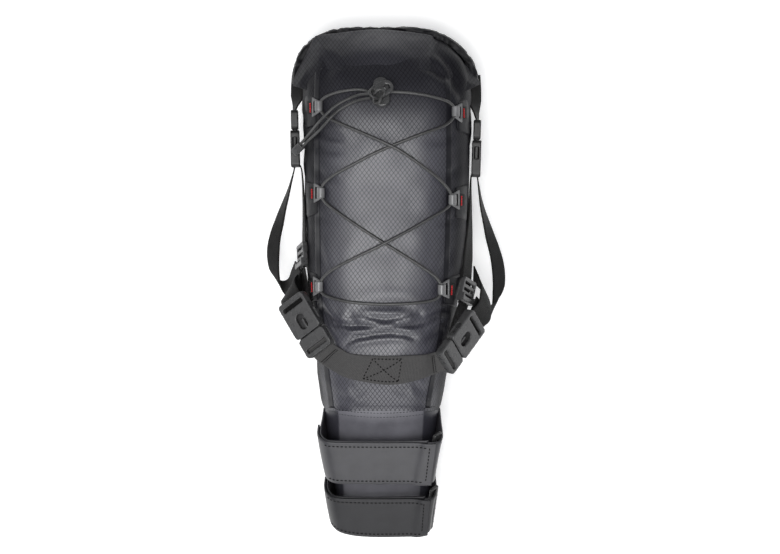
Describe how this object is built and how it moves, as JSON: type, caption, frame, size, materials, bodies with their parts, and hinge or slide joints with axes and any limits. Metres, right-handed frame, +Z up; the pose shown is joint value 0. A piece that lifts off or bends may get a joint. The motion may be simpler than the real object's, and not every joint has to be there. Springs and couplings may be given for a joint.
{
  "type": "saddle bag",
  "caption": "Roll-top seat pack with laced elastic cord, cord lock, side compression straps, saddle-rail buckles and two wide hook-and-loop seatpost straps.",
  "frame": {"origin": "on the plane the bag lies on, below the centre of its bounding box", "axes": "+Z up out of the top panel, +Y to the rolled rear end, -Y to the seatpost nose, +X to the bag's side that has the strap rings"},
  "size_m": [0.2437, 0.5207, 0.1684],
  "materials": {
    "shell_fabric": "coated diamond ripstop, faint sheen",
    "nose_fabric": "smooth coated fabric, satin",
    "stiffener_plastic": "sheet",
    "patch_film": "welded film",
    "webbing": "ribbed webbing",
    "post_webbing": "smooth coated strap, stitched edge",
    "buckle_plastic": "moulded, satin",
    "hook_plastic": "moulded, satin",
    "lock_plastic": "moulded, matt",
    "ring_plastic": "moulded",
    "spring_steel": "wire",
    "cord_sheath": "braided elastic cord"
  },
  "bodies": {
    "bag": {"anchor_strap_left": "webbing", "anchor_strap_right": "webbing", "bag_shell": "shell_fabric", "base_stiffener": "stiffener_plastic", "box_strap": "webbing", "bungee_cord": "cord_sheath", "bungee_knot": "cord_sheath", "bungee_tail_front": "cord_sheath", "bungee_tail_rear": "cord_sheath", "cord_end_clip": "lock_plastic", "cord_hook_front_left": "hook_plastic", "cord_hook_front_right": "hook_plastic", "cord_hook_middle_left": "hook_plastic", "cord_hook_middle_right": "hook_plastic", "cord_hook_rear_left": "hook_plastic", "cord_hook_rear_right": "hook_plastic", "cord_lock_body": "lock_plastic", "cord_lock_spring": "spring_steel", "hook_loop_front_left": "webbing", "hook_loop_front_right": "webbing", "hook_loop_middle_left": "webbing", "hook_loop_middle_right": "webbing", "hook_loop_rear_left": "webbing", "hook_loop_rear_right": "webbing", "hook_patches": "patch_film", "ladder_lock_left": "buckle_plastic", "ladder_lock_right": "buckle_plastic", "nose_panel": "nose_fabric", "nose_stiffener": "stiffener_plastic", "post_strap_band_lower": "post_webbing", "post_strap_band_upper": "post_webbing", "post_strap_ring_lower": "ring_plastic", "post_strap_ring_upper": "ring_plastic", "post_strap_tab_lower": "post_webbing", "post_strap_tab_upper": "post_webbing", "rail_buckle_male_left": "buckle_plastic", "rail_buckle_male_right": "buckle_plastic", "roll_buckle_female_left": "buckle_plastic", "roll_buckle_female_right": "buckle_plastic", "roll_stiffener": "stiffener_plastic", "roll_top": "shell_fabric", "side_strap_left": "webbing", "side_strap_right": "webbing", "side_strap_tail_left": "webbing", "side_strap_tail_right": "webbing"},
    "rail_clip_left": {"rail_buckle_female_left": "buckle_plastic", "rail_strap_left": "webbing"},
    "rail_clip_right": {"rail_buckle_female_right": "buckle_plastic", "rail_strap_right": "webbing"},
    "roll_clip_left": {"roll_buckle_male_left": "buckle_plastic", "roll_tab_left": "webbing"},
    "roll_clip_right": {"roll_buckle_male_right": "buckle_plastic", "roll_tab_right": "webbing"},
    "upper_flap": {"post_strap_flap_upper": "post_webbing"},
    "lower_flap": {"post_strap_flap_lower": "post_webbing"},
    "lock_button": {"cord_lock_button": "lock_plastic"}
  },
  "joints": [
    {"name": "rail_buckle_left_opens", "type": "slide", "parent": "bag", "child": "rail_clip_left", "axis": [-0.5011, 0.8419, -0.2004], "range_m": [0, 0.022]},
    {"name": "rail_buckle_right_opens", "type": "slide", "parent": "bag", "child": "rail_clip_right", "axis": [0.5319, 0.7226, -0.4416], "range_m": [0, 0.022]},
    {"name": "roll_buckle_left_opens", "type": "slide", "parent": "bag", "child": "roll_clip_left", "axis": [-0.02, 0.9998, 0], "range_m": [0, 0.0205]},
    {"name": "roll_buckle_right_opens", "type": "slide", "parent": "bag", "child": "roll_clip_right", "axis": [0.03, 0.9996, 0], "range_m": [0, 0.0205]},
    {"name": "upper_flap_peels", "type": "hinge", "parent": "bag", "child": "upper_flap", "pos_m": [0.0385, -0.18238, 0.11631], "axis": [0.1386, 0.8306, 0.5394], "range_deg": [0, 140]},
    {"name": "lower_flap_peels", "type": "hinge", "parent": "bag", "child": "lower_flap", "pos_m": [0.0365, -0.23908, 0.08114], "axis": [0.0995, 0.7841, 0.6126], "range_deg": [0, 140]},
    {"name": "lock_button_press", "type": "slide", "parent": "bag", "child": "lock_button", "axis": [0.01, -0.2892, -0.9572], "range_m": [0, 0.0028], "stiffness_N_per_m": 300, "springref_m": -0.003, "deforming": ["cord_lock_spring"]}
  ]
}
